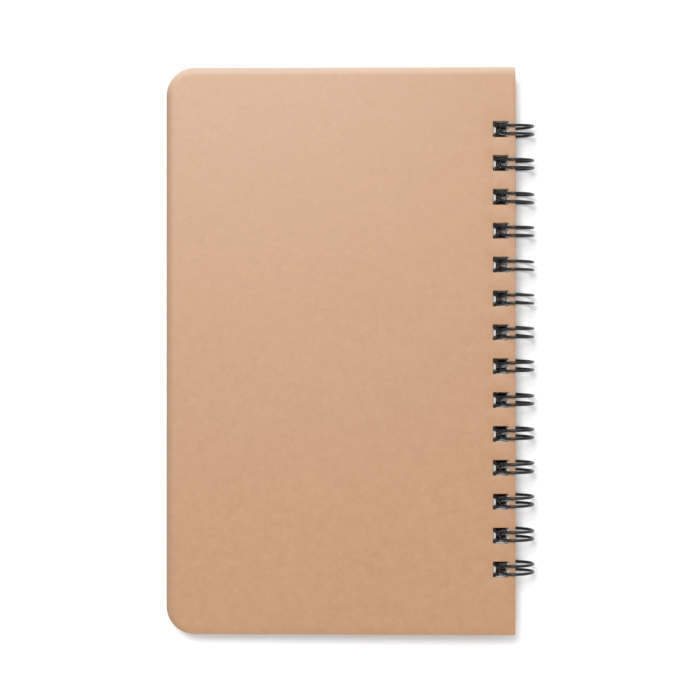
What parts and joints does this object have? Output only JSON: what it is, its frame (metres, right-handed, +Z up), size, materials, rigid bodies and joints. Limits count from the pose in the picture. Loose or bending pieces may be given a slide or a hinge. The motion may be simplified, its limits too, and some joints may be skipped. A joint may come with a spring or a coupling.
{
  "type": "pocket notebook",
  "caption": "Pocket notebook with kraft board covers and loose leaves on a black twin-loop wire binding; covers and leaves turn about the rings and open flat.",
  "frame": {"origin": "middle of the closed book's footprint, rings included, on the surface that it rests on", "axes": "+Z up, from the front cover to the back cover; +Y towards the head of the book; +X towards the binding"},
  "size_m": [0.0928, 0.142, 0.0102],
  "materials": {
    "kraft_paper": "matte",
    "grey_board": "matte",
    "page_paper": "matte",
    "black_wire": "satin"
  },
  "bodies": {
    "front_cover": {"front_cover_board": "grey_board", "front_cover_outer_lining": "kraft_paper", "front_cover_inner_lining": "kraft_paper"},
    "first_leaf": {"first_leaf": "page_paper"},
    "leaves_02_05": {"leaves_02_05": "page_paper"},
    "leaves_06_09": {"leaves_06_09": "page_paper"},
    "leaves_10_13": {"leaves_10_13": "page_paper"},
    "leaves_14_17": {"leaves_14_17": "page_paper"},
    "leaves_18_21": {"leaves_18_21": "page_paper"},
    "leaves_22_25": {"leaves_22_25": "page_paper"},
    "leaves_26_29": {"leaves_26_29": "page_paper"},
    "leaves_30_33": {"leaves_30_33": "page_paper"},
    "leaves_34_37": {"leaves_34_37": "page_paper"},
    "leaves_38_41": {"leaves_38_41": "page_paper"},
    "leaves_42_45": {"leaves_42_45": "page_paper"},
    "leaves_46_49": {"leaves_46_49": "page_paper"},
    "last_leaf": {"last_leaf": "page_paper", "binding_wire": "black_wire"},
    "back_cover": {"back_cover_board": "grey_board", "back_cover_outer_lining": "kraft_paper", "back_cover_inner_lining": "kraft_paper"}
  },
  "joints": [
    {"name": "turn_first_leaf", "type": "hinge", "parent": "front_cover", "child": "first_leaf", "pos_m": [0.0413, 0, 0.0051], "axis": [0, 1, 0], "range_deg": [0, 180]},
    {"name": "turn_leaves_02_05", "type": "hinge", "parent": "first_leaf", "child": "leaves_02_05", "pos_m": [0.0413, 0, 0.0051], "axis": [0, 1, 0], "range_deg": [0, 180]},
    {"name": "turn_leaves_06_09", "type": "hinge", "parent": "leaves_02_05", "child": "leaves_06_09", "pos_m": [0.0413, 0, 0.0051], "axis": [0, 1, 0], "range_deg": [0, 180]},
    {"name": "turn_leaves_10_13", "type": "hinge", "parent": "leaves_06_09", "child": "leaves_10_13", "pos_m": [0.0413, 0, 0.0051], "axis": [0, 1, 0], "range_deg": [0, 180]},
    {"name": "turn_leaves_14_17", "type": "hinge", "parent": "leaves_10_13", "child": "leaves_14_17", "pos_m": [0.0413, 0, 0.0051], "axis": [0, 1, 0], "range_deg": [0, 180]},
    {"name": "turn_leaves_18_21", "type": "hinge", "parent": "leaves_14_17", "child": "leaves_18_21", "pos_m": [0.0413, 0, 0.0051], "axis": [0, 1, 0], "range_deg": [0, 180]},
    {"name": "turn_leaves_22_25", "type": "hinge", "parent": "leaves_18_21", "child": "leaves_22_25", "pos_m": [0.0413, 0, 0.0051], "axis": [0, 1, 0], "range_deg": [0, 180]},
    {"name": "turn_leaves_26_29", "type": "hinge", "parent": "leaves_22_25", "child": "leaves_26_29", "pos_m": [0.0413, 0, 0.0051], "axis": [0, 1, 0], "range_deg": [0, 180]},
    {"name": "turn_leaves_30_33", "type": "hinge", "parent": "leaves_26_29", "child": "leaves_30_33", "pos_m": [0.0413, 0, 0.0051], "axis": [0, 1, 0], "range_deg": [0, 180]},
    {"name": "turn_leaves_34_37", "type": "hinge", "parent": "leaves_30_33", "child": "leaves_34_37", "pos_m": [0.0413, 0, 0.0051], "axis": [0, 1, 0], "range_deg": [0, 180]},
    {"name": "turn_leaves_38_41", "type": "hinge", "parent": "leaves_34_37", "child": "leaves_38_41", "pos_m": [0.0413, 0, 0.0051], "axis": [0, 1, 0], "range_deg": [0, 180]},
    {"name": "turn_leaves_42_45", "type": "hinge", "parent": "leaves_38_41", "child": "leaves_42_45", "pos_m": [0.0413, 0, 0.0051], "axis": [0, 1, 0], "range_deg": [0, 180]},
    {"name": "turn_leaves_46_49", "type": "hinge", "parent": "leaves_42_45", "child": "leaves_46_49", "pos_m": [0.0413, 0, 0.0051], "axis": [0, 1, 0], "range_deg": [0, 180]},
    {"name": "turn_last_leaf", "type": "hinge", "parent": "leaves_46_49", "child": "last_leaf", "pos_m": [0.0413, 0, 0.0051], "axis": [0, 1, 0], "range_deg": [0, 180]},
    {"name": "turn_back_cover", "type": "hinge", "parent": "last_leaf", "child": "back_cover", "pos_m": [0.0413, 0, 0.0051], "axis": [0, 1, 0], "range_deg": [0, 182]}
  ]
}
